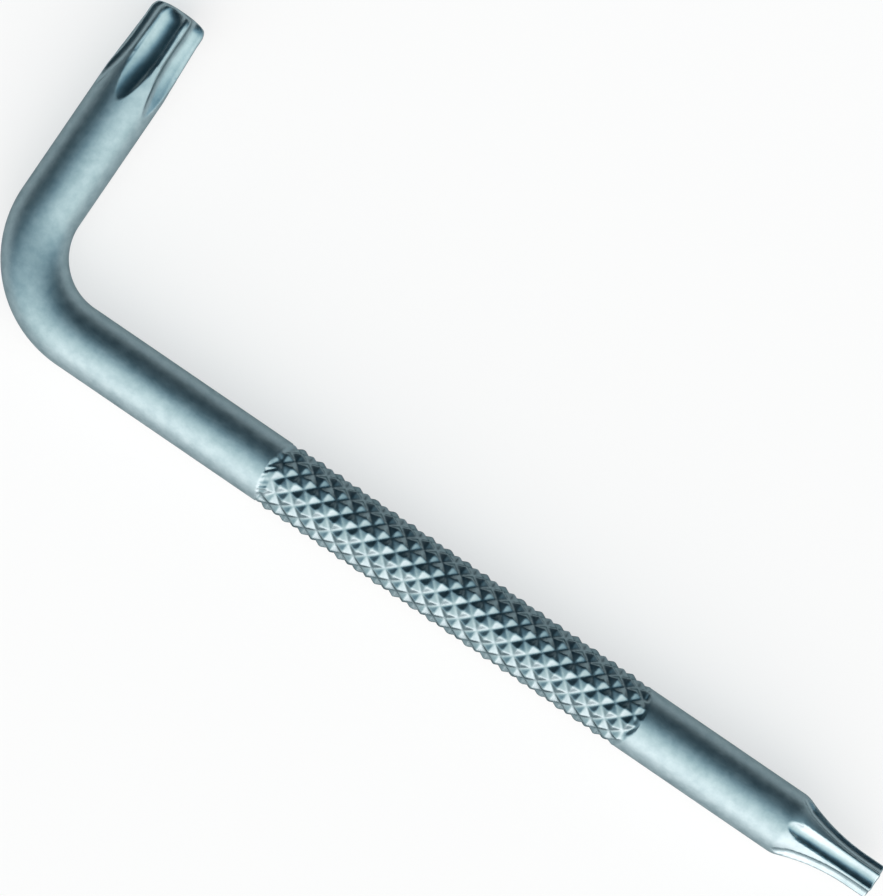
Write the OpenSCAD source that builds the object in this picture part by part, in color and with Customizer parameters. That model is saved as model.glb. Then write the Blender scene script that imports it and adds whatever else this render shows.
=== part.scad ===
// Double-ended star key: one round steel rod bent to an L, with a large six-lobe star on the
// short arm, a small one on the long arm, and a diamond-knurled grip between the bend and the tip.
// The key lies flat, with its long arm along +X and its short arm along +Y.

/* [Rod] */
// Diameter of the plain round rod
rod_d = 4.25; // [4:0.05:5]
// Overall length of the long arm, from the outside of the short arm to the tip
long_arm = 68; // [62:0.5:120]
// Overall length of the short arm, from the outside of the long arm to the tip
short_arm = 22.5; // [20:0.5:45]
// Radius of the bend at the middle of the rod
bend_r = 5.8; // [4:0.1:9]

/* [Knurled grip] */
// Distance from the outside of the short arm to the grip
grip_start = 22.3; // [18:0.1:26]
// Length of the grip
grip_length = 28.1; // [14:0.1:32]
// Distance between neighbouring grooves, square to them
knurl_pitch = 0.98; // [0.6:0.02:1.6]
// Angle between the grooves and the rod
knurl_angle = 46; // [30:1:60]
// Height of the points above the rod
knurl_rise = 0.13; // [0.02:0.01:0.3]
// Depth of the grooves below the points
knurl_depth = 0.28; // [0.1:0.01:0.5]
// Share of each point that is left flat
knurl_flat = 0.18; // [0.05:0.01:0.6]
// Turn of the knurl about the long arm
knurl_turn = -5; // [-18:0.5:18]

/* [Large star] */
// Diameter across the lobes (drive size 20)
large_lobes = 3.86; // [3.5:0.01:3.95]
// Diameter across the bottoms of the flutes
large_flutes = 2.77; // [2.6:0.01:2.9]
// Radius of the rounded lobes
large_lobe_r = 0.28; // [0.2:0.01:0.32]
// Length of the flutes, from the end of the key to where they fade out
large_flute_length = 6.8; // [5:0.05:8]
// Slope at which the flutes rise to the rod
large_ramp = 15; // [12:0.5:20]
// Radius between the floor of the flutes and that slope
large_runout_r = 12; // [4:0.5:18]
// Plain rod kept behind the flutes
large_collar = 1.8; // [0.4:0.1:2.5]
// Length over which the lobes swell from the star to the rod
large_swell = 3.9; // [2:0.1:4.5]
// Length of the straight lobes, with the lead
large_straight = 1.4; // [0.6:0.1:2]
// Length of the dome that leads the star into a screw
large_lead = 0.5; // [0.1:0.01:0.8]
// Diameter of the flat end
large_end_d = 1.7; // [1:0.05:2.4]
// Turn of the star about the short arm
large_turn = -7.5; // [-30:0.5:30]

/* [Small star] */
// Diameter across the lobes (drive size 8)
small_lobes = 2.31; // [2.2:0.01:2.4]
// Diameter across the bottoms of the flutes
small_flutes = 1.68; // [1.6:0.01:1.74]
// Radius of the rounded lobes
small_lobe_r = 0.15; // [0.1:0.01:0.2]
// Length of the straight star at the tip
small_straight = 1.36; // [0.8:0.02:3]
// Length of the concave neck behind the straight star
neck_length = 4.95; // [3.5:0.05:7]
// Distance from the start of the neck to where the flutes begin to run out
small_runout_start = 0.68; // [0.2:0.02:1]
// Slope at which the flutes rise to the rod
small_ramp = 33; // [28:1:45]
// Plain rod kept behind the neck
small_collar = 0.9; // [0.7:0.1:2]
// Length of the cone that leads the star into a screw
small_lead = 0.14; // [0.05:0.01:0.3]
// Diameter of the flat end
small_end_d = 1.7; // [1.2:0.05:2]
// Turn of the star about the long arm
small_turn = 0; // [-30:0.5:30]

/* [Hidden] */

$fn = 96;
steel = [0.66, 0.72, 0.74];
worked_steel = [0.58, 0.65, 0.68];

// Six lobes, so a flute and the next lobe are 30 degrees apart
lobe_count = 6;
half_sector = 180 / lobe_count;
// Steps of the arcs in a flute's outline, on each side of its middle
flute_steps = 6;
lobe_steps = 3;
// Angle of the flat land that is left along the top of each rounded lobe, on each side
land_angle = 20;
// Steps of the domed end of the large star
dome_steps = 5;
// How far a cutter reaches past what it cuts
overcut = 0.6;

rod_r = rod_d / 2;
knurl_r = rod_r + knurl_rise;
groove_r = knurl_r - knurl_depth;

// The middle lines of the two arms cross at the corner, and distances along an arm start there
long_reach = long_arm - rod_r;
short_reach = short_arm - rod_r;
corner = [rod_r - long_arm / 2, (knurl_r - short_reach) / 2, knurl_r];

grip_from = grip_start - rod_r;
grip_to = grip_from + grip_length;
neck_from = long_reach - small_straight - neck_length;
tip_from = long_reach - small_straight;

// Knurl: a grid of half-diamonds, with grooves crossing at every other grid point
knurl_starts = round(2 * PI * knurl_r * cos(knurl_angle) / knurl_pitch);
columns = 2 * knurl_starts;
rows = round(2 * grip_length * sin(knurl_angle) / knurl_pitch);
row_step = grip_length / rows;
// The four neighbours of a grid point as steps of row and column: below, right, above, left
STEPS = [[-1, 0], [0, 1], [1, 0], [0, -1]];

// Neck: an arc that meets the straight star without a corner
small_r = small_lobes / 2;
neck_rise = rod_r - small_r;
neck_r = (neck_length ^ 2 + neck_rise ^ 2) / (2 * neck_rise);
// Sides of the ring that hollows the neck: its arc is a small share of a large circle
neck_sides = 288;

large_r = large_lobes / 2;
large_floor = large_flutes / 2;
small_floor = small_flutes / 2;
// Where the floor of the large flutes starts to rise
large_runout_rise = large_runout_r * (1 - cos(large_ramp));
large_runout_from = short_reach - large_flute_length + large_runout_r * sin(large_ramp)
    + (rod_r - large_floor - large_runout_rise) / tan(large_ramp);
large_from = short_reach - large_flute_length - large_collar;
shank_to = neck_from - small_collar;

// Places what follows on the long arm: its z runs along +X and its x points up
module on_long_arm(distance)
    translate(corner + [distance, 0, 0]) rotate([0, 90, 0]) rotate([0, 0, 180]) children();

// Places what follows on the short arm: its z runs along +Y and its x points up
module on_short_arm(distance)
    translate(corner + [0, distance, 0]) rotate([-90, 0, 0]) rotate([0, 0, -90]) children();

// Radius of a flute whose arc meets the arcs of its two lobes without a corner
function flute_radius(lobe_top, floor_r, lobe_r) =
    let (middle = lobe_top - lobe_r)
    (middle ^ 2 + floor_r ^ 2 - 2 * middle * floor_r * cos(half_sector) - lobe_r ^ 2)
    / (2 * (lobe_r - floor_r + middle * cos(half_sector)));

// Half of the outline of what is cut away between two lobes, from the middle of the flute outwards
function flute_half(lobe_top, floor_r, lobe_r, depth) =
    let (flute_r = flute_radius(lobe_top, floor_r, lobe_r),
         flute_middle = floor_r + flute_r,
         lobe_middle = (lobe_top - lobe_r) * [cos(half_sector), sin(half_sector)],
         meet = atan2(lobe_middle.y, flute_middle - lobe_middle.x),
         lobe_end = half_sector - land_angle,
         lobe_arc = [for (i = [1 : lobe_steps])
             let (a = -meet + (lobe_end + meet) * i / lobe_steps)
             lobe_middle + lobe_r * [cos(a), sin(a)]])
    concat([for (i = [1 : flute_steps])
                let (a = meet * i / flute_steps)
                [flute_middle - flute_r * cos(a), flute_r * sin(a)]],
           lobe_arc,
           [[floor_r + depth, lobe_arc[lobe_steps - 1].y]]);

// The whole outline, with the flute's bottom in the middle
function flute_outline(lobe_top, floor_r, lobe_r, depth) =
    let (half = flute_half(lobe_top, floor_r, lobe_r, depth), last = len(half) - 1)
    concat([for (i = [0 : last]) [half[last - i].x, -half[last - i].y]], [[floor_r, 0]], half);

// A flute's outline swept outwards in an arc, from z = 0 towards -z
module runout(outline, floor_r, arc_r, angle)
    translate([floor_r + arc_r, 0, 0]) rotate([-90, 0, 180])
        rotate_extrude(angle = angle) polygon([for (p = outline) [floor_r + arc_r - p.x, p.y]]);

// Turns what follows along such an arc, so that it can go on from the arc's end; an arc of radius 0
// is a corner in the floor
module after_runout(floor_r, arc_r, angle)
    translate([floor_r + arc_r, 0, 0]) rotate([0, -angle, 0]) translate([-floor_r - arc_r, 0, 0])
        children();

// A flute's outline carried straight on, from z = 0 towards -z
module straight_on(outline, length)
    translate([0, 0, -length]) linear_extrude(length) polygon(outline);

module around_star(turn)
    for (i = [0 : lobe_count - 1]) rotate([0, 0, turn + i * 360 / lobe_count]) children();

// Flutes of the large star, with z = 0 at the end of the key
module large_flute_cutters() {
    outline = flute_outline(large_r, large_floor, large_lobe_r, rod_r - large_floor + overcut);
    straight = short_reach - large_runout_from;
    around_star(large_turn) translate([0, 0, -straight]) {
        linear_extrude(straight + overcut) polygon(outline);
        runout(outline, large_floor, large_runout_r, large_ramp);
        after_runout(large_floor, large_runout_r, large_ramp)
            straight_on(outline, (rod_r - large_floor + overcut) / sin(large_ramp));
    }
}

// Flutes of the small star, with z = 0 where its straight part meets the neck: they follow the neck
// at an even depth and then turn up to rise straight to the rod
module small_flute_cutters() {
    outline = flute_outline(small_r, small_floor, small_lobe_r, small_r - small_floor + overcut);
    floor_arc = neck_r + small_r - small_floor;
    follow_angle = asin((neck_length - small_runout_start) / floor_arc);
    turn_angle = small_ramp - follow_angle;
    lifted = small_floor + floor_arc * (1 - cos(follow_angle));
    around_star(small_turn) {
        linear_extrude(small_straight + overcut) polygon(outline);
        runout(outline, small_floor, floor_arc, follow_angle);
        after_runout(small_floor, floor_arc, follow_angle) after_runout(small_floor, 0, turn_angle)
            straight_on(outline, (rod_r - lifted + overcut) / sin(small_ramp));
    }
}

module plain_rod(length) cylinder(d = rod_d, h = length);

module large_star_tip() color(worked_steel) on_short_arm(short_reach) difference() {
    rotate_extrude() polygon([
        [0, large_from - short_reach],
        [rod_r, large_from - short_reach],
        [rod_r, -large_straight - large_swell],
        [large_r, -large_straight],
        for (i = [0 : dome_steps])
            let (a = 90 * i / dome_steps, end_r = large_end_d / 2)
            [end_r + (large_r - end_r) * cos(a), -large_lead * (1 - sin(a))],
        [0, 0]]);
    large_flute_cutters();
}

module short_arm() color(steel) on_short_arm(bend_r) plain_rod(large_from - bend_r);

module bend() color(steel)
    translate(corner + [bend_r, bend_r, 0]) rotate([0, 0, 180]) rotate_extrude(angle = 90)
        translate([bend_r, 0]) circle(d = rod_d);

module rear_shank() color(steel) on_long_arm(bend_r) plain_rod(grip_from - bend_r);

// A point of the knurl, at a row and column that may lie between grid points
function knurl_point(row, column, radius) =
    let (a = knurl_turn + 360 * column / columns) [radius * cos(a), radius * sin(a), row * row_step];
function is_peak(row, column) = (row + column) % 2 == 1;
function grid_index(row, column) = row * columns + (column + columns) % columns;
function flat_index(row, column, side) =
    (rows + 1) * columns + ((row - 1) * knurl_starts + floor(column / 2)) * len(STEPS) + side % len(STEPS);
function knurl_radius(row, column) =
    row == 0 || row == rows ? rod_r : is_peak(row, column) ? knurl_r : groove_r;

// Rows of four-sided points with a small flat on each; the grooves run out to the rod at both ends
module knurled_grip() {
    grid = [for (row = [0 : rows], column = [0 : columns - 1])
        knurl_point(row, column, knurl_radius(row, column))];
    flats = [for (row = [1 : rows - 1], column = [0 : columns - 1])
        if (is_peak(row, column)) for (step = STEPS)
            knurl_point(row + knurl_flat * step[0], column + knurl_flat * step[1], knurl_r)];
    peak_faces = [for (row = [1 : rows - 1], column = [0 : columns - 1])
        if (is_peak(row, column)) for (side = [0 : len(STEPS) - 1])
            let (step = STEPS[side],
                 next = STEPS[(side + 1) % len(STEPS)],
                 here = grid_index(row + step[0], column + step[1]),
                 there = grid_index(row + next[0], column + next[1]),
                 flat_here = flat_index(row, column, side),
                 flat_there = flat_index(row, column, side + 1))
            each [[here, flat_here, flat_there], [here, flat_there, there],
                  [flat_there, flat_here, grid_index(row, column)]]];
    end_faces = [for (column = [0 : columns - 1])
        let (left = column - 1, right = column + 1)
        each concat(
            is_peak(0, column) ? [
                [grid_index(0, column), grid_index(1, column), grid_index(0, right)],
                [grid_index(0, left), grid_index(1, column), grid_index(0, column)]] : [],
            is_peak(rows, column) ? [
                [grid_index(rows, column), grid_index(rows, right), grid_index(rows - 1, column)],
                [grid_index(rows, column), grid_index(rows - 1, column), grid_index(rows, left)]] : [])];
    caps = [[for (column = [0 : columns - 1]) grid_index(0, column)],
            [for (column = [columns - 1 : -1 : 0]) grid_index(rows, column)]];
    color(worked_steel) on_long_arm(grip_from)
        polyhedron(concat(grid, flats), concat(peak_faces, end_faces, caps), convexity = 6);
}

module front_shank() color(steel) on_long_arm(grip_to) plain_rod(shank_to - grip_to);

module tapered_neck() color(worked_steel) on_long_arm(tip_from) difference() {
    translate([0, 0, shank_to - tip_from]) plain_rod(tip_from - shank_to);
    rotate_extrude() translate([small_r + neck_r, 0]) circle(neck_r, $fn = neck_sides);
    small_flute_cutters();
}

module small_star_tip() color(worked_steel) on_long_arm(tip_from) difference() {
    rotate_extrude() polygon([
        [0, 0],
        [small_r, 0],
        [small_r, small_straight - small_lead],
        [small_end_d / 2, small_straight],
        [0, small_straight]]);
    small_flute_cutters();
}

large_star_tip();
short_arm();
bend();
rear_shank();
knurled_grip();
front_shank();
tapered_neck();
small_star_tip();
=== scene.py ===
"""Looks of the double-ended star key: a bent rod of satin-plated steel on a plain white floor.

The key is one bar of steel, so its pieces share the same rules: each one is a row of rings along the
middle of an arm, and neighbouring pieces meet in the same ring. Lengths are in metres.
"""

import math

import bpy
import numpy as np
from mathutils import Matrix, Vector


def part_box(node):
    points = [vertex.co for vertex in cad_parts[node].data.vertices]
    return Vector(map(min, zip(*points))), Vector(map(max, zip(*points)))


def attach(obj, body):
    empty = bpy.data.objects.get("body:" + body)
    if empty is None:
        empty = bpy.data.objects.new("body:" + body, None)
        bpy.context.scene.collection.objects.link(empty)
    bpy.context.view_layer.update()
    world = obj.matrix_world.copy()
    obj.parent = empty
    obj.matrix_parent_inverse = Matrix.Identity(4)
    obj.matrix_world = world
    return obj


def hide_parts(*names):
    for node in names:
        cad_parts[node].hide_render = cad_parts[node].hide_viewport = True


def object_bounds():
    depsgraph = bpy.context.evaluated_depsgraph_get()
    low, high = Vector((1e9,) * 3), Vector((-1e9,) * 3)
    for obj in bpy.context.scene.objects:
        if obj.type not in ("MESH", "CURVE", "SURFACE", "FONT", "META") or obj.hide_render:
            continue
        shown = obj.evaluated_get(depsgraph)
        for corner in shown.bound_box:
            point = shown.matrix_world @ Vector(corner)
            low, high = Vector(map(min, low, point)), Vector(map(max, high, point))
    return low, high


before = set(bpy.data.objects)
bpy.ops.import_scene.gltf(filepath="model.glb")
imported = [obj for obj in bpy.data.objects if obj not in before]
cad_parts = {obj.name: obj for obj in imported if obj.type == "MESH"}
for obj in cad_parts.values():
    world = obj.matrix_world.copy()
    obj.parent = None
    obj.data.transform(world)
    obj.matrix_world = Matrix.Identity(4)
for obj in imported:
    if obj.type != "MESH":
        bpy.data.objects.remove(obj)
cad_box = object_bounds()

MM = 0.001
BODY = "root"

# Camera: the photograph's height in pixels, and the size of one of its pixels on the key
PHOTO_H = 896
PIXEL = 0.06207 * MM
# Direction of the long arm in the photograph, below the horizontal
ARM_SLOPE = math.radians(34.35)
# Middle of the photograph on the plane of the key
VIEW_X, VIEW_Y = -3.405 * MM, -1.958 * MM
LENS = 300.0
SENSOR = 36.0

# Places and sizes from the frame
REAR_LOW, REAR_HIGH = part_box("rear_shank")
SHORT_LOW, SHORT_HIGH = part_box("short_arm")
GRIP_LOW, GRIP_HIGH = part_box("knurled_grip")
NECK_LOW, NECK_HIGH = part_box("tapered_neck")
SMALL_LOW, SMALL_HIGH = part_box("small_star_tip")
LARGE_LOW, LARGE_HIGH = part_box("large_star_tip")

# The middle lines of the two arms cross at the corner, and distances along an arm start there
CORNER = Vector((
    (SHORT_LOW.x + SHORT_HIGH.x) / 2,
    (REAR_LOW.y + REAR_HIGH.y) / 2,
    (REAR_LOW.z + REAR_HIGH.z) / 2,
))
ROD_R = (REAR_HIGH.z - REAR_LOW.z) / 2
BEND_R = REAR_LOW.x - CORNER.x
GRIP_FROM = GRIP_LOW.x - CORNER.x
GRIP_TO = GRIP_HIGH.x - CORNER.x
KNURL_R = (GRIP_HIGH.z - GRIP_LOW.z) / 2
NECK_COLLAR = NECK_LOW.x - CORNER.x
TIP_FROM = SMALL_LOW.x - CORNER.x
LONG_END = SMALL_HIGH.x - CORNER.x
LARGE_FROM = LARGE_LOW.y - CORNER.y
SHORT_END = LARGE_HIGH.y - CORNER.y
SMALL_R = (SMALL_HIGH.y - SMALL_LOW.y) / 2

# Both stars
LOBES = 6
HALF_SECTOR = math.pi / LOBES
# Angle to either side of a lobe's middle within which the bar's own surface is left
LAND_ANGLE = math.radians(20)
# Width of the rounded edge of a flute, and the share of it from which metal counts as cut
SMOOTH_EDGE = 0.035 * MM
WORKED_FROM = 0.3

# Large star: its radius over the lobes and in the flutes, the radius of a lobe's own arc, and its turn
LARGE_R = 1.93 * MM
LARGE_FLOOR = 1.385 * MM
LARGE_LOBE_R = 0.28 * MM
LARGE_TURN = math.radians(-7.5)
# Rod behind the flutes, and the arc and the ramp on which they run out
LARGE_COLLAR = 1.8 * MM
LARGE_RUNOUT_R = 12.0 * MM
LARGE_RAMP = math.radians(15)
# Straight length, and the length over which the bar then swells to the rod
LARGE_STRAIGHT = 1.4 * MM
LARGE_SWELL = 3.9 * MM
# Rounding of the outline at the end: its length along the arm, and how far it draws the outline in
LARGE_LEAD = 0.85 * MM
LARGE_INSET = 0.65 * MM
# Dome over that: its length, the radius of its flat middle, and the width of its rounded edge
DOME_LEAD = 0.55 * MM
DOME_FLAT = 0.33 * MM
DOME_EDGE = 0.12 * MM

# Small star, in the same order; its flutes turn up ahead of the end of the neck
SMALL_FLOOR = 0.84 * MM
SMALL_LOBE_R = 0.15 * MM
SMALL_COLLAR = 0.9 * MM
SMALL_RUNOUT_START = 0.68 * MM
SMALL_RUNOUT_R = 0.6 * MM
SMALL_RAMP = math.radians(33)
SMALL_LEAD = 0.14 * MM
SMALL_INSET = 0.25 * MM
# Neck: an arc from the star's radius to the rod's, with a rounded edge there
NECK_LENGTH = TIP_FROM - NECK_COLLAR - SMALL_COLLAR
NECK_RISE = ROD_R - SMALL_R
NECK_R = (NECK_LENGTH ** 2 + NECK_RISE ** 2) / (2 * NECK_RISE)
NECK_EDGE = 0.14 * MM

# Knurl: rows and columns of a grid, with grooves crossing at every other grid point
KNURL_ROWS = 41
KNURL_COLUMNS = 20
KNURL_DEPTH = 0.29 * MM
KNURL_TURN = math.radians(-5)
GROOVE_ROUND = 0.2
# Lowest and highest worn top of a point, as a share of its full height
TOP_LOW, TOP_HIGH = 0.72, 0.95
SEED = 11
# Rounding of the edges of a point: where the swell starts, and what is added with the swell
EDGE_LEAST = 0.01
EDGE_ADDED = 0.14
# Rows over which the two families of grooves and the swell fade out at the ends of the grip
RISING_FADE = 0.35
FALLING_FADE = 0.6
SWELL_FADE = 0.9
# Rows by which the knurl starts later at the sides of the rod than along its top
END_CURVE = 0.8
# Fine marks where the tool first touched the rod: the column at their middle, the columns to either side
# and the rows that they reach, and the rows over which they set in
MARK_COLUMN = 1.3
MARK_COLUMNS = 2.4
MARK_ROWS = 1.65
MARK_START = 0.15
# Number of marks to a column, depth of the deepest one, and the weakest as a share of it
MARKS_EACH = 1.5
MARK_DEPTH = 0.6
MARK_WEAKEST = 0.45
# Share by which the grooves are shallower where those marks are
MARK_FADE = 0.6

# Fineness of the meshes: steps round a ring, in a cell of the knurl and over the end of a star
ROD_STEPS = 120
STAR_STEPS = 252
CELL_STEPS = 10
END_STEPS = 18
# Gaps between the rings of rods, the bend and stars
ROD_GAP = 0.5 * MM
BEND_GAP = math.radians(1.5)
RING_GAP = 0.07 * MM
# Rings of a star's end face, as shares of the radius of its edge
FACE_RINGS = (0.7, 0.4, 0.12)
# Times that the search for a flute's surface is halved
HALVINGS = 40

# Steel: its tones and roughness between a low and a high level of the mottle
MOTTLE_LOW, MOTTLE_HIGH = 0.3, 0.7
STEEL_DARK = (0.25, 0.345, 0.38)
STEEL_LIGHT = (0.34, 0.445, 0.48)
ROUGH_LOW, ROUGH_HIGH = 0.44, 0.5
# Noise of the mottle and of the blasted grain
MOTTLE_SCALE, MOTTLE_DETAIL = 1500.0, 4.0
GRAIN_SCALE, GRAIN_DETAIL = 7000.0, 2.0
NOISE_ROUGHNESS = 0.6
GRAIN_HEIGHT = 0.004 * MM
# Roughness that cut metal has less, and how far the raised knurl counts as cut
WORKED_POLISH = 0.1
KNURL_WORKED = 0.6
# Share of the steel's tone that is left at a low angle, and the knurl's tone as a share of the steel's
PLAIN_EDGE = 0.35
KNURL_EDGE = 0.03
KNURL_TONE = (0.797, 0.81, 0.814)

# Soft light: where its middle lies, from +X towards +Y and above the floor, and its colour by the
# cosine of the angle to that middle
LIGHT_SIDE = math.radians(-55)
LIGHT_RISE = math.radians(17.5)
LIGHT_STRENGTH = 4.4
LIGHT_STOPS = [
    (0.0, (0.0, 0.005, 0.009)),
    (0.2, (0.0, 0.09, 0.155)),
    (0.4, (0.38, 0.405, 0.385)),
    (0.7, (0.4, 0.405, 0.385)),
    (1.0, (1.0, 0.83, 0.79)),
]

# White board: half its width, its paint, and the share of its white that is its own
FLOOR_HALF = 3.0
FLOOR_PAINT = 0.9
FLOOR_WHITE = 0.65


# Frames of the two arms and the bend

def to_points(x, y, z):
    """Rings of points from coordinates, each of which may be the same along the rings or round them."""
    return np.stack(np.broadcast_arrays(x, y, z), axis=-1)


def on_long_arm(distance, angle, radius):
    """Points on the long arm; angle 0 is the top and a quarter turn is -Y."""
    return to_points(
        CORNER.x + distance,
        CORNER.y - radius * np.sin(angle),
        CORNER.z + radius * np.cos(angle))


def on_short_arm(distance, angle, radius):
    """Points on the short arm; angle 0 is the top and a quarter turn is +X."""
    return to_points(
        CORNER.x + radius * np.sin(angle),
        CORNER.y + distance,
        CORNER.z + radius * np.cos(angle))


def on_bend(turn, angle, radius):
    """Points on the bend; turn 0 is at the short arm, and a quarter turn of the angle faces outwards."""
    reach = BEND_R + radius * np.sin(angle)
    return to_points(
        CORNER.x + BEND_R - reach * np.cos(turn),
        CORNER.y + BEND_R - reach * np.sin(turn),
        CORNER.z + radius * np.cos(angle))


def angles(steps):
    """Angles of the points of a ring, as a row."""
    return np.linspace(0, 2 * math.pi, steps, endpoint=False)[None, :]


def spread(start, end, gap):
    """Places from start to end, at most gap apart."""
    return np.linspace(start, end, max(2, math.ceil((end - start) / gap) + 1))


# Meshes

def add_object(name, data):
    """Puts a new object into the scene."""
    item = bpy.data.objects.new(name, data)
    bpy.context.scene.collection.objects.link(item)
    return item


def add_piece(node, points, material, worked=None):
    """Makes a closed piece from rings of points and puts it in the place of a node.

    worked says, for each point, how far the metal is cut. The edges of the first and the last ring are
    sharp, so that the smooth surface goes on into the next piece without a seam.
    """
    rings, steps, _ = points.shape
    last = (rings - 1) * steps
    ring = np.arange(rings - 1)[:, None] * steps
    here = np.arange(steps)[None, :]
    there = (here + 1) % steps
    sides = np.stack([ring + here, ring + there, ring + steps + there, ring + steps + here], axis=-1)
    sides = sides.reshape(-1, 4).tolist()
    caps = [list(range(steps - 1, -1, -1)), list(range(last, rings * steps))]
    mesh = bpy.data.meshes.new(node)
    mesh.from_pydata(points.reshape(-1, 3).tolist(), [], sides + caps)
    mesh.polygons.foreach_set("use_smooth", [True] * len(sides) + [False] * len(caps))

    edge_ends = np.empty(2 * len(mesh.edges), int)
    mesh.edges.foreach_get("vertices", edge_ends)
    edge_ends = edge_ends.reshape(-1, 2)
    sharp = (edge_ends < steps).all(axis=1) | (edge_ends >= last).all(axis=1)
    mesh.attributes.new("sharp_edge", "BOOLEAN", "EDGE").data.foreach_set("value", sharp)

    if worked is not None:
        mark = mesh.attributes.new("worked", "FLOAT", "POINT")
        mark.data.foreach_set("value", np.ascontiguousarray(worked, np.float32).ravel())

    mesh.materials.append(material)
    piece = add_object(node + "_finish", mesh)
    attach(piece, BODY)
    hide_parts(node)


def soft_least(a, b, blend):
    """The lesser of two heights, with the edge between them rounded."""
    near = np.clip(1 - np.abs(a - b) / blend, 0, 1)
    return np.minimum(a, b) - near * near * blend / 4


# Plain rod

def rod_rings(place, start, end, gap):
    """Rings of plain rod, at most gap apart."""
    return place(spread(start, end, gap)[:, None], angles(ROD_STEPS), ROD_R)


# Star ends

class Star:
    """The flutes of a star: their outline across the arm, and the surface that they leave."""

    def __init__(self, lobe_top, floor, lobe_r, turn):
        self.turn = turn
        self.lobe_r = lobe_r
        middle = lobe_top - lobe_r
        self.flute_r = (
            (middle ** 2 + floor ** 2 - 2 * middle * floor * math.cos(HALF_SECTOR) - lobe_r ** 2)
            / (2 * (lobe_r - floor + middle * math.cos(HALF_SECTOR))))
        self.flute_x = floor + self.flute_r
        self.lobe_x = middle * math.cos(HALF_SECTOR)
        self.lobe_y = middle * math.sin(HALF_SECTOR)
        meet = math.atan2(self.lobe_y, self.flute_x - self.lobe_x)
        self.meet_y = self.flute_r * math.sin(meet)
        self.land_y = self.lobe_y + lobe_r * math.sin(HALF_SECTOR - LAND_ANGLE)

    def outline(self, y):
        """Distance from the arm's middle to a flute's outline, at y from the flute's middle."""
        flute = self.flute_x - np.sqrt(np.maximum(self.flute_r ** 2 - y ** 2, 0))
        lobe = self.lobe_x + np.sqrt(np.maximum(self.lobe_r ** 2 - (y - self.lobe_y) ** 2, 0))
        return np.where(y < self.meet_y, flute, np.where(y < self.land_y, lobe, np.inf))

    def radius(self, depth, angle, body, at_floor):
        """Radius of the fluted surface and how far it is cut; body is the bar's radius without flutes.

        at_floor(x, depth) gives the place on the straight outline that x takes at that depth.
        """
        sector = np.abs((angle - self.turn + HALF_SECTOR) % (2 * HALF_SECTOR) - HALF_SECTOR)
        depth, sector, body = np.broadcast_arrays(depth, sector, body)
        low = np.zeros_like(body)
        high = body + SMOOTH_EDGE
        for _ in range(HALVINGS):
            half = (low + high) / 2
            cut = at_floor(half * np.cos(sector), depth) > self.outline(half * np.sin(sector))
            low = np.where(cut, low, half)
            high = np.where(cut, half, high)
        fluted = soft_least(body, low, SMOOTH_EDGE)
        return fluted, np.clip((body - fluted) / SMOOTH_EDGE - WORKED_FROM, 0, 1)


def lowered(x, depth, floor, arcs):
    """Place on the straight outline of a point that lies over the rising floor of a flute.

    depth is measured from where the floor starts to rise. It rises in arcs, each with a radius and an
    angle, and goes straight on from the last one.
    """
    height = x - floor
    result = height.copy()
    still = depth > 0
    for arc_r, turn in arcs:
        result = np.where(still, arc_r - np.hypot(arc_r - height, depth), result)
        still = still & (np.arctan2(depth, arc_r - height) > turn)
        height = height - arc_r * (1 - math.cos(turn))
        depth = depth - arc_r * math.sin(turn)
        height, depth = (
            height * math.cos(turn) - depth * math.sin(turn),
            height * math.sin(turn) + depth * math.cos(turn))
    return floor + np.where(still, height, result)


def large_lowered(x, depth):
    """The flutes are straight, and then run out on an arc and a ramp."""
    fluted = SHORT_END - LARGE_FROM - LARGE_COLLAR
    climb = ROD_R - LARGE_FLOOR - LARGE_RUNOUT_R * (1 - math.cos(LARGE_RAMP))
    runout = LARGE_RUNOUT_R * math.sin(LARGE_RAMP) + climb / math.tan(LARGE_RAMP)
    return lowered(x, depth - fluted + runout, LARGE_FLOOR, [(LARGE_RUNOUT_R, LARGE_RAMP)])


def small_lowered(x, depth):
    """The flutes follow the neck at an even depth, and then turn up to the rod."""
    floor_arc = NECK_R + SMALL_R - SMALL_FLOOR
    follow = math.asin((NECK_LENGTH - SMALL_RUNOUT_START) / floor_arc)
    arcs = [(floor_arc, follow), (SMALL_RUNOUT_R, SMALL_RAMP - follow)]
    return lowered(x, depth - (LONG_END - TIP_FROM), SMALL_FLOOR, arcs)


def large_body(depth):
    """Radius of the large end before it is fluted, at a depth from its end."""
    swell = np.clip((depth - LARGE_STRAIGHT) / LARGE_SWELL, 0, 1)
    return LARGE_R + (ROD_R - LARGE_R) * swell


def neck_body(depth):
    """Radius of the small end before it is fluted, at a depth from its end."""
    back = np.maximum(depth - (LONG_END - TIP_FROM), 0)
    return soft_least(SMALL_R + NECK_R - np.sqrt(NECK_R ** 2 - back ** 2), ROD_R, NECK_EDGE)


def rounding(depth, lead, inset):
    """How far an edge that is rounded over a lead is drawn in, at a depth from the end."""
    return inset * (1 - np.sqrt(1 - np.maximum(1 - depth / lead, 0) ** 2))


def large_dome(depth):
    """Radius of the round dome on the large end, at a depth from the end."""
    start = LARGE_R + DOME_EDGE
    return np.where(depth < DOME_LEAD, start - rounding(depth, DOME_LEAD, start - DOME_FLAT), np.inf)


def no_dome(depth):
    """The small end has no dome, so nothing limits its radius."""
    return np.full_like(depth, np.inf)


def star_rings(star, place, end, depth, body, at_floor):
    """Rings at depths from the end of an arm, and how far their metal is cut."""
    depth = depth[:, None]
    round_it = star.turn + angles(STAR_STEPS)
    radius, worked = star.radius(depth, round_it, body(depth), at_floor)
    return place(end - depth, round_it, radius), worked


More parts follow.
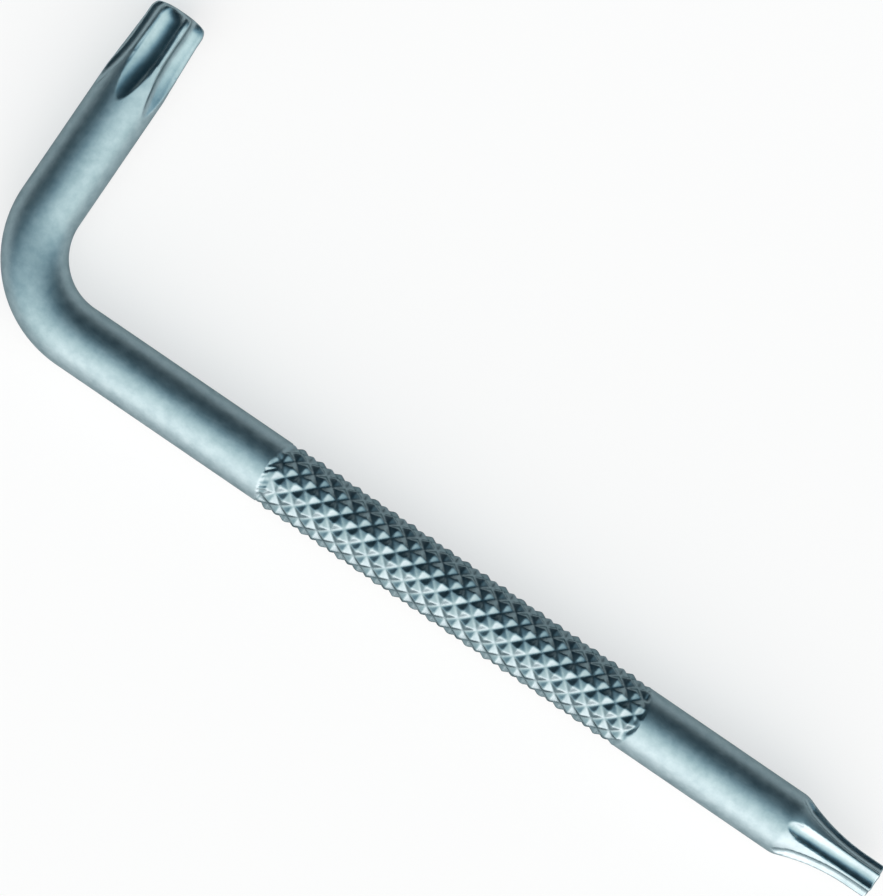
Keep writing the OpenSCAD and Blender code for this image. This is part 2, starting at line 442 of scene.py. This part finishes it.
def star_end_rings(star, place, end, back, body, at_floor, lead, inset, dome):
    """Rings from a depth at the back over the end of a star, and how far their metal is cut.

    The edge of the end is rounded all along the star's outline, and the dome limits it.
    """
    turn = np.linspace(0, math.pi / 2, END_STEPS)
    depth = np.concatenate([spread(lead, back, RING_GAP)[:0:-1], lead * (1 - np.sin(turn))])[:, None]
    round_it = star.turn + angles(STAR_STEPS)
    radius, worked = star.radius(depth, round_it, body(depth), at_floor)
    radius = soft_least(radius - rounding(depth, lead, inset), dome(depth), DOME_EDGE)
    face = radius[-1:] * np.array(FACE_RINGS)[:, None]
    depth = np.concatenate([depth, np.zeros((len(face), 1))])
    radius = np.concatenate([radius, face])
    worked = np.concatenate([worked, np.zeros_like(face)])
    return place(end - depth, round_it, radius), worked


# Knurled grip

def knurl_angle(column):
    """Angle round the rod at which a column of the knurl's grid lies."""
    return KNURL_TURN + 2 * math.pi * column / KNURL_COLUMNS


def flank(place):
    """Height beside grooves at whole places: 0 in a groove and 1 halfway.

    The sides are straight and the bottom is round.
    """
    across = 2 * np.abs(place - np.round(place))
    full = math.hypot(1, GROOVE_ROUND) - GROOVE_ROUND
    return (np.hypot(across, GROOVE_ROUND) - GROOVE_ROUND) / full


def knurl_heights(row, column):
    """Height at places on the knurl's grid, from 0 in a groove to 1, and the share of the swell there."""
    late = END_CURVE * np.sin(knurl_angle(column)) ** 2
    from_start = np.maximum(row - late, 0)
    to_end = np.minimum(from_start, np.maximum(KNURL_ROWS - row - late, 0))
    rising = 1 - np.clip(to_end / RISING_FADE, 0, 1) * (1 - flank((column + row) / 2))
    falling = 1 - np.clip(to_end / FALLING_FADE, 0, 1) * (1 - flank((column - row) / 2))
    draw = np.random.default_rng(SEED)
    tops = draw.uniform(TOP_LOW, TOP_HIGH, (KNURL_ROWS + 1, KNURL_COLUMNS))
    tops = tops[np.round(row).astype(int), np.round(column).astype(int) % KNURL_COLUMNS]
    swell = np.clip(to_end / SWELL_FADE, 0, 1)
    blend = EDGE_LEAST + EDGE_ADDED * swell
    points = soft_least(soft_least(rising, falling, blend), 1 - swell * (1 - tops), blend)

    half_turn = KNURL_COLUMNS / 2
    from_mark = np.abs((column - MARK_COLUMN + half_turn) % KNURL_COLUMNS - half_turn)
    marked = np.clip(MARK_ROWS - from_start, 0, 1) * np.clip(from_start / MARK_START, 0, 1)
    marked = marked * np.clip(MARK_COLUMNS - from_mark, 0, 1)
    mark = MARKS_EACH * (column + row)
    marks = round(MARKS_EACH * KNURL_COLUMNS)
    strength = draw.uniform(MARK_WEAKEST, 1.0, marks)[np.round(mark).astype(int) % marks]
    scored = 1 - MARK_DEPTH * strength * marked * (1 - flank(mark))
    points = 1 - (1 - points) * (1 - MARK_FADE * marked)
    return np.minimum(points, scored), swell


def knurled_rings():
    """Rings of the grip, and how far their metal is cut."""
    row = np.linspace(0, KNURL_ROWS, KNURL_ROWS * CELL_STEPS + 1)[:, None]
    column = np.arange(KNURL_COLUMNS * CELL_STEPS)[None, :] / CELL_STEPS
    height, swell = knurl_heights(row, column)
    radius = ROD_R + swell * (KNURL_R - ROD_R) - KNURL_DEPTH * (1 - height)
    distance = GRIP_FROM + row * (GRIP_TO - GRIP_FROM) / KNURL_ROWS
    return on_long_arm(distance, knurl_angle(column), radius), KNURL_WORKED * swell


# Shader nodes

def new_tree(owner):
    """Gives a material or a world an empty node tree."""
    owner.use_nodes = True
    owner.node_tree.nodes.clear()
    return owner.node_tree


def feed(tree, socket, value):
    """Links a socket from another one, or sets its value."""
    if isinstance(value, bpy.types.NodeSocket):
        tree.links.new(value, socket)
    else:
        socket.default_value = value


def add_node(tree, kind, **inputs):
    """Adds a shader node and feeds the sockets that are named, with _ for a space."""
    node = tree.nodes.new(kind)
    for name, value in inputs.items():
        feed(tree, node.inputs[name.replace("_", " ")], value)
    return node


def add_math(tree, operation, *values):
    """Adds a sum of numbers or sockets and gives its result."""
    node = tree.nodes.new("ShaderNodeMath")
    node.operation = operation
    for socket, value in zip(node.inputs, values):
        feed(tree, socket, value)
    return node.outputs["Value"]


def add_noise(tree, place, scale, detail):
    """Adds a noise and gives its level."""
    noise = add_node(
        tree, "ShaderNodeTexNoise", Vector=place, Scale=scale, Detail=detail, Roughness=NOISE_ROUGHNESS)
    return noise.outputs["Fac"]


def add_ramp(tree, share, stops):
    """Adds a colour ramp, whose stops are places and colours, and gives its colour."""
    ramp = add_node(tree, "ShaderNodeValToRGB", Fac=share)
    elements = ramp.color_ramp.elements
    while len(elements) < len(stops):
        elements.new(0.5)
    for element, (place, colour) in zip(elements, stops):
        element.position = place
        element.color = (*colour, 1)
    return ramp.outputs["Color"]


def add_tint(tree, share, colour, tint):
    """Multiplies a share of a colour by a tint and gives the result."""
    mix = tree.nodes.new("ShaderNodeMix")
    mix.data_type = "RGBA"
    mix.blend_type = "MULTIPLY"
    sockets = {socket.identifier: socket for socket in (*mix.inputs, *mix.outputs)}
    feed(tree, sockets["Factor_Float"], share)
    feed(tree, sockets["A_Color"], colour)
    feed(tree, sockets["B_Color"], (*tint, 1))
    return sockets["Result_Color"]


# Materials

def plated_steel(name, knurled):
    """Satin-plated steel: a mottled tone and a fine blasted grain, a little cleaner where it was cut.

    On the knurl its tone is darker, and less of it is left at a low angle.
    """
    material = bpy.data.materials.new(name)
    tree = new_tree(material)
    place = add_node(tree, "ShaderNodeTexCoord").outputs["Object"]
    mottle = add_noise(tree, place, MOTTLE_SCALE, MOTTLE_DETAIL)
    grain = add_noise(tree, place, GRAIN_SCALE, GRAIN_DETAIL)
    bump = add_node(tree, "ShaderNodeBump", Height=grain, Strength=1.0, Distance=GRAIN_HEIGHT)
    attribute = tree.nodes.new("ShaderNodeAttribute")
    attribute.attribute_name = "worked"
    worked = attribute.outputs["Fac"]

    dull = add_node(
        tree, "ShaderNodeMapRange", Value=mottle, From_Min=MOTTLE_LOW, From_Max=MOTTLE_HIGH,
        To_Min=ROUGH_LOW, To_Max=ROUGH_HIGH)
    roughness = add_math(tree, "MULTIPLY_ADD", worked, -WORKED_POLISH, dull.outputs["Result"])
    tone = add_ramp(tree, mottle, [(MOTTLE_LOW, STEEL_DARK), (MOTTLE_HIGH, STEEL_LIGHT)])
    edge = (PLAIN_EDGE, PLAIN_EDGE, PLAIN_EDGE, 1)
    if knurled:
        raised = add_math(tree, "DIVIDE", worked, KNURL_WORKED)
        tone = add_tint(tree, raised, tone, KNURL_TONE)
        edge = add_math(tree, "MULTIPLY_ADD", raised, KNURL_EDGE - PLAIN_EDGE, PLAIN_EDGE)
    shader = add_node(
        tree, "ShaderNodeBsdfPrincipled", Metallic=1.0, Base_Color=tone, Roughness=roughness,
        Specular_Tint=edge, Normal=bump.outputs["Normal"])
    add_node(tree, "ShaderNodeOutputMaterial", Surface=shader.outputs["BSDF"])
    return material


def floor_material():
    """White board whose white is partly its own, so that it stays pale and still takes the shadow."""
    material = bpy.data.materials.new("white_board")
    tree = new_tree(material)
    path = add_node(tree, "ShaderNodeLightPath").outputs
    mirrored = add_math(tree, "MAXIMUM", path["Is Glossy Ray"], path["Is Transmission Ray"])
    seen = add_math(tree, "MAXIMUM", path["Is Camera Ray"], mirrored)
    share = add_math(tree, "MULTIPLY", seen, FLOOR_WHITE)
    paint = add_node(tree, "ShaderNodeBsdfDiffuse", Color=(FLOOR_PAINT, FLOOR_PAINT, FLOOR_PAINT, 1))
    white = add_node(tree, "ShaderNodeEmission", Color=(1, 1, 1, 1), Strength=1.0)
    mixed = add_node(tree, "ShaderNodeMixShader", Fac=share)
    feed(tree, mixed.inputs[1], paint.outputs["BSDF"])
    feed(tree, mixed.inputs[2], white.outputs["Emission"])
    add_node(tree, "ShaderNodeOutputMaterial", Surface=mixed.outputs["Shader"])
    return material


# The key

def build_key():
    """The eight pieces, each in the place of its node."""
    steel = plated_steel("satin_plated_steel", False)
    knurled = plated_steel("knurled_plated_steel", True)
    add_piece("short_arm", rod_rings(on_short_arm, BEND_R, LARGE_FROM, ROD_GAP), steel)
    add_piece("rear_shank", rod_rings(on_long_arm, BEND_R, GRIP_FROM, ROD_GAP), steel)
    add_piece("front_shank", rod_rings(on_long_arm, GRIP_TO, NECK_COLLAR, ROD_GAP), steel)
    add_piece("bend", rod_rings(on_bend, 0, math.pi / 2, BEND_GAP), steel)

    points, worked = knurled_rings()
    add_piece("knurled_grip", points, knurled, worked)

    large = Star(LARGE_R, LARGE_FLOOR, LARGE_LOBE_R, LARGE_TURN)
    points, worked = star_end_rings(
        large, on_short_arm, SHORT_END, SHORT_END - LARGE_FROM, large_body, large_lowered,
        LARGE_LEAD, LARGE_INSET, large_dome)
    add_piece("large_star_tip", points, steel, worked)

    small = Star(SMALL_R, SMALL_FLOOR, SMALL_LOBE_R, 0)
    depth = spread(LONG_END - TIP_FROM, LONG_END - NECK_COLLAR, RING_GAP)[::-1]
    points, worked = star_rings(small, on_long_arm, LONG_END, depth, neck_body, small_lowered)
    add_piece("tapered_neck", points, steel, worked)
    points, worked = star_end_rings(
        small, on_long_arm, LONG_END, LONG_END - TIP_FROM, neck_body, small_lowered,
        SMALL_LEAD, SMALL_INSET, no_dome)
    add_piece("small_star_tip", points, steel, worked)


# Floor, light and camera

def build_floor():
    """A plain white board under the key."""
    half = FLOOR_HALF
    mesh = bpy.data.meshes.new("floor")
    mesh.from_pydata(
        [(-half, -half, 0), (half, -half, 0), (half, half, 0), (-half, half, 0)], [], [(0, 1, 2, 3)])
    mesh.materials.append(floor_material())
    floor = add_object("floor", mesh)
    floor.location.z = cad_box[0].z


def build_light():
    """One wide soft light, low on the side of the long arm's lower edge, in a dim room."""
    world = bpy.data.worlds.new("studio")
    bpy.context.scene.world = world
    tree = new_tree(world)
    middle = (
        math.cos(LIGHT_RISE) * math.cos(LIGHT_SIDE),
        math.cos(LIGHT_RISE) * math.sin(LIGHT_SIDE),
        math.sin(LIGHT_RISE))
    towards = tree.nodes.new("ShaderNodeVectorMath")
    towards.operation = "DOT_PRODUCT"
    feed(tree, towards.inputs[0], add_node(tree, "ShaderNodeTexCoord").outputs["Generated"])
    feed(tree, towards.inputs[1], middle)
    share = add_node(tree, "ShaderNodeMapRange", Value=towards.outputs["Value"], From_Min=-1.0)
    stops = [((cosine + 1) / 2, colour) for cosine, colour in LIGHT_STOPS]
    colour = add_ramp(tree, share.outputs["Result"], stops)
    sky = add_node(tree, "ShaderNodeBackground", Color=colour, Strength=LIGHT_STRENGTH)
    add_node(tree, "ShaderNodeOutputWorld", Surface=sky.outputs["Background"])


def build_camera():
    """A long lens straight above the key, turned as the photograph is."""
    lens = bpy.data.cameras.new("camera")
    lens.lens = LENS
    lens.sensor_width = SENSOR
    camera = add_object("camera", lens)
    distance = LENS * PHOTO_H * PIXEL / SENSOR
    right = Vector((math.cos(ARM_SLOPE), math.sin(ARM_SLOPE), 0))
    back = Vector((0, 0, 1))
    up = back.cross(right)
    place = Matrix.Translation((VIEW_X, VIEW_Y, CORNER.z + distance))
    camera.matrix_world = place @ Matrix((right, up, back)).transposed().to_4x4()
    bpy.context.scene.camera = camera


build_key()
build_floor()
build_light()
build_camera()
bpy.context.scene.view_settings.view_transform = "Standard"
